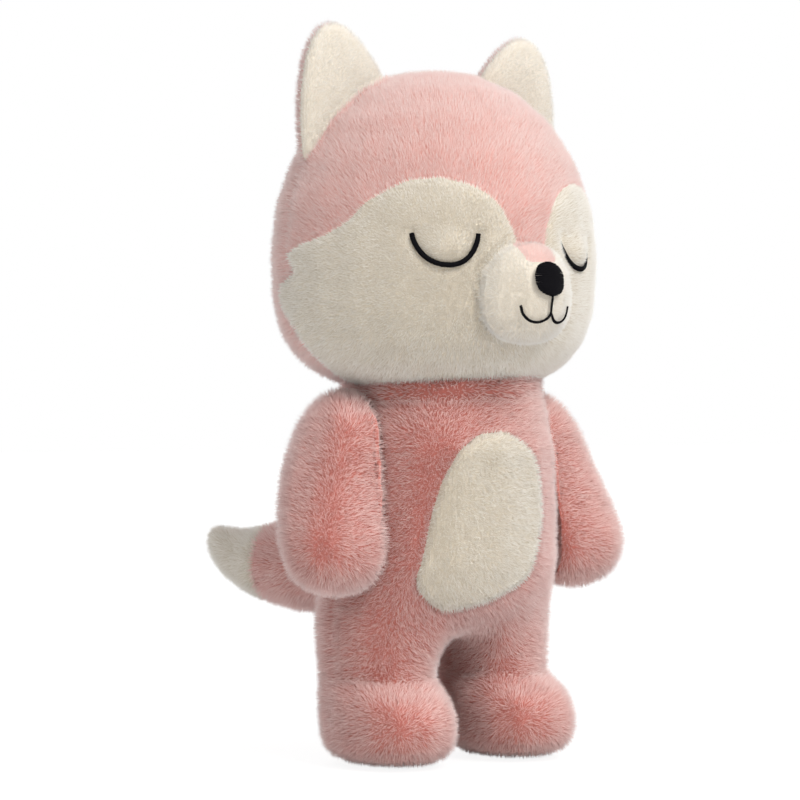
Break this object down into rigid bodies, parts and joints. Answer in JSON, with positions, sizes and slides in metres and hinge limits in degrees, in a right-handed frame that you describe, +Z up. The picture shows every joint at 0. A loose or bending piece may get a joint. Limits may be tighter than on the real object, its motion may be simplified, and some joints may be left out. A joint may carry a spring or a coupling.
{
  "type": "plush fox",
  "caption": "Standing stuffed fox with a big head, closed eyes, a cream face and belly, long-pile limbs and a curled tail.",
  "frame": {"origin": "on the ground, under the middle of the whole toy's box, tail included", "axes": "+Z up, -Y the way the fox faces, +X its own left side"},
  "size_m": [0.2056, 0.266, 0.3699],
  "materials": {
    "pink_fur": "long-pile fur fabric, matt",
    "light_pink_velvet": "short-pile velvet, matt",
    "cream_velvet": "short-pile velvet, matt",
    "black_thread": "satin-stitched embroidery thread, slight sheen",
    "fibre_fill": "loose polyester fibre",
    "pellet_cloth": "thin non-woven bag filled with plastic pellets",
    "card_board": "stiff sheet inside the foot"
  },
  "bodies": {
    "torso": {"body_front_panel": "pink_fur", "belly_patch": "cream_velvet", "body_back_panel_left": "pink_fur", "body_back_panel_right": "pink_fur", "body_stuffing": "fibre_fill", "foot_sole_left": "pink_fur", "foot_upper_left": "pink_fur", "foot_insole_left": "card_board", "foot_pellet_bag_left": "pellet_cloth", "foot_stuffing_left": "fibre_fill", "foot_sole_right": "pink_fur", "foot_upper_right": "pink_fur", "foot_insole_right": "card_board", "foot_pellet_bag_right": "pellet_cloth", "foot_stuffing_right": "fibre_fill"},
    "neck": {"neck_roll": "pink_fur"},
    "head": {"head_crown_panel": "pink_fur", "face_panel_left": "cream_velvet", "head_back_panel_left": "pink_fur", "face_panel_right": "cream_velvet", "head_back_panel_right": "pink_fur", "head_stuffing": "fibre_fill", "muzzle_panel": "cream_velvet", "muzzle_bridge_panel": "light_pink_velvet", "muzzle_stuffing": "fibre_fill", "nose": "black_thread", "mouth_stitching": "black_thread", "eye_stitching_left": "black_thread", "eye_stitching_right": "black_thread", "ear_front_panel_left": "cream_velvet", "ear_back_panel_left": "pink_fur", "ear_front_panel_right": "cream_velvet", "ear_back_panel_right": "pink_fur"},
    "arm_left": {"arm_outer_panel_left": "pink_fur", "arm_inner_panel_left": "pink_fur", "arm_stuffing_left": "fibre_fill"},
    "arm_right": {"arm_outer_panel_right": "pink_fur", "arm_inner_panel_right": "pink_fur", "arm_stuffing_right": "fibre_fill"},
    "tail": {"tail_base_panel": "pink_fur", "tail_tip_panel": "cream_velvet", "tail_stuffing": "fibre_fill"}
  },
  "joints": [
    {"name": "head_turn", "type": "hinge", "parent": "torso", "child": "neck", "pos_m": [0, -0.03289, 0.182], "axis": [0, 0, 1], "range_deg": [-25, 25], "stiffness_Nm_per_rad": 0.6},
    {"name": "head_nod", "type": "hinge", "parent": "neck", "child": "head", "pos_m": [0, -0.03289, 0.182], "axis": [1, 0, 0], "range_deg": [-10, 10], "stiffness_Nm_per_rad": 2, "deforming": ["neck_roll"]},
    {"name": "shoulder_left", "type": "hinge", "parent": "torso", "child": "arm_left", "pos_m": [0.055, -0.03289, 0.165], "axis": [1, 0, 0], "range_deg": [-45, 35], "stiffness_Nm_per_rad": 0.12},
    {"name": "shoulder_right", "type": "hinge", "parent": "torso", "child": "arm_right", "pos_m": [-0.055, -0.03289, 0.165], "axis": [1, 0, 0], "range_deg": [-45, 35], "stiffness_Nm_per_rad": 0.12},
    {"name": "tail_wag", "type": "hinge", "parent": "torso", "child": "tail", "pos_m": [0, 0.02511, 0.096], "axis": [0, 0, 1], "range_deg": [-30, 30], "stiffness_Nm_per_rad": 0.12}
  ]
}
